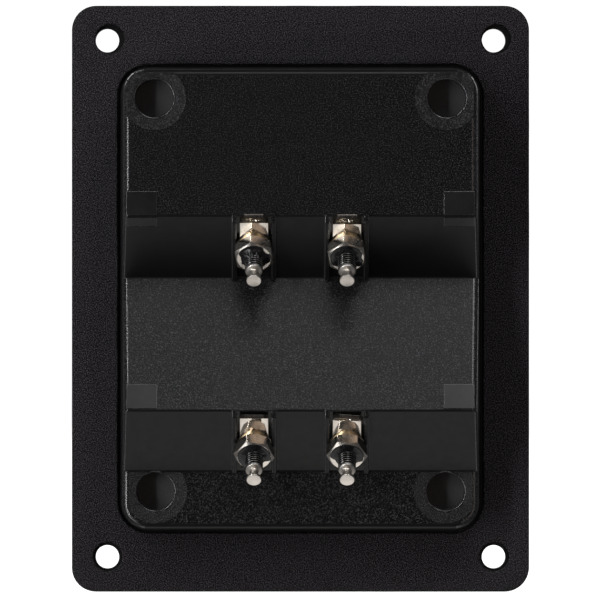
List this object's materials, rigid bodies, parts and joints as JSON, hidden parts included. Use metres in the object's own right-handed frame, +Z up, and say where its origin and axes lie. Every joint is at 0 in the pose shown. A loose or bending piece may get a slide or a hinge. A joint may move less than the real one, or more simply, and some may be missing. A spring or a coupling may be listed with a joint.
{
  "type": "loudspeaker terminal cup",
  "caption": "Recessed loudspeaker input cup with bi-wire binding posts, solder lugs behind them, and a foam gasket on its flange.",
  "frame": {"origin": "centre of the screw pattern, on the flange's rear face", "axes": "+Y towards the user, -Y into the cabinet, +Z up, +X to the right seen from inside the cabinet"},
  "size_m": [0.103, 0.0354, 0.132],
  "materials": {
    "cup_plastic": "fine spark texture with smooth slanted faces",
    "foam": "fine closed-cell foam",
    "nickel": "bright nickel plate",
    "brass": "turned",
    "red_plastic": "semi-gloss",
    "black_plastic": "semi-gloss"
  },
  "bodies": {
    "cup": {"terminal_cup": "cup_plastic", "gasket": "foam", "hf_positive_post_body": "nickel", "hf_positive_base_collar": "red_plastic", "hf_positive_solder_lug": "nickel", "hf_positive_lock_washer": "nickel", "hf_positive_hex_nut": "nickel", "hf_negative_post_body": "nickel", "hf_negative_base_collar": "black_plastic", "hf_negative_solder_lug": "nickel", "hf_negative_lock_washer": "nickel", "hf_negative_hex_nut": "nickel", "lf_positive_post_body": "nickel", "lf_positive_base_collar": "red_plastic", "lf_positive_solder_lug": "nickel", "lf_positive_lock_washer": "nickel", "lf_positive_hex_nut": "nickel", "lf_negative_post_body": "nickel", "lf_negative_base_collar": "black_plastic", "lf_negative_solder_lug": "nickel", "lf_negative_lock_washer": "nickel", "lf_negative_hex_nut": "nickel"},
    "hf_positive_clamp": {"hf_positive_clamp_washer": "nickel"},
    "hf_positive_knob": {"hf_positive_knob_shell": "red_plastic", "hf_positive_knob_insert": "brass"},
    "hf_negative_clamp": {"hf_negative_clamp_washer": "nickel"},
    "hf_negative_knob": {"hf_negative_knob_shell": "black_plastic", "hf_negative_knob_insert": "brass"},
    "lf_positive_clamp": {"lf_positive_clamp_washer": "nickel"},
    "lf_positive_knob": {"lf_positive_knob_shell": "red_plastic", "lf_positive_knob_insert": "brass"},
    "lf_negative_clamp": {"lf_negative_clamp_washer": "nickel"},
    "lf_negative_knob": {"lf_negative_knob_shell": "black_plastic", "lf_negative_knob_insert": "brass"}
  },
  "joints": [
    {"name": "hf_positive_clamp_slide", "type": "slide", "parent": "cup", "child": "hf_positive_clamp", "axis": [0, 0.7547, 0.6561], "range_m": [0, 0.006]},
    {"name": "hf_positive_knob_turn", "type": "hinge", "parent": "hf_positive_clamp", "child": "hf_positive_knob", "pos_m": [-0.0103, -0.0144, 0.01715], "axis": [0, 0.7547, 0.6561], "range_deg": [0, 2160]},
    {"name": "hf_negative_clamp_slide", "type": "slide", "parent": "cup", "child": "hf_negative_clamp", "axis": [0, 0.7547, 0.6561], "range_m": [0, 0.006]},
    {"name": "hf_negative_knob_turn", "type": "hinge", "parent": "hf_negative_clamp", "child": "hf_negative_knob", "pos_m": [0.0103, -0.0144, 0.01715], "axis": [0, 0.7547, 0.6561], "range_deg": [0, 2160]},
    {"name": "lf_positive_clamp_slide", "type": "slide", "parent": "cup", "child": "lf_positive_clamp", "axis": [0, 0.7547, 0.6561], "range_m": [0, 0.006]},
    {"name": "lf_positive_knob_turn", "type": "hinge", "parent": "lf_positive_clamp", "child": "lf_positive_knob", "pos_m": [-0.0103, -0.01362, -0.02685], "axis": [0, 0.7547, 0.6561], "range_deg": [0, 2160]},
    {"name": "lf_negative_clamp_slide", "type": "slide", "parent": "cup", "child": "lf_negative_clamp", "axis": [0, 0.7547, 0.6561], "range_m": [0, 0.006]},
    {"name": "lf_negative_knob_turn", "type": "hinge", "parent": "lf_negative_clamp", "child": "lf_negative_knob", "pos_m": [0.0103, -0.01362, -0.02685], "axis": [0, 0.7547, 0.6561], "range_deg": [0, 2160]}
  ],
  "couplings": [
    {"joint": "hf_positive_clamp_slide", "follows": "hf_positive_knob_turn", "m_per_rad": 0.000159},
    {"joint": "hf_negative_clamp_slide", "follows": "hf_negative_knob_turn", "m_per_rad": 0.000159},
    {"joint": "lf_positive_clamp_slide", "follows": "lf_positive_knob_turn", "m_per_rad": 0.000159},
    {"joint": "lf_negative_clamp_slide", "follows": "lf_negative_knob_turn", "m_per_rad": 0.000159}
  ]
}
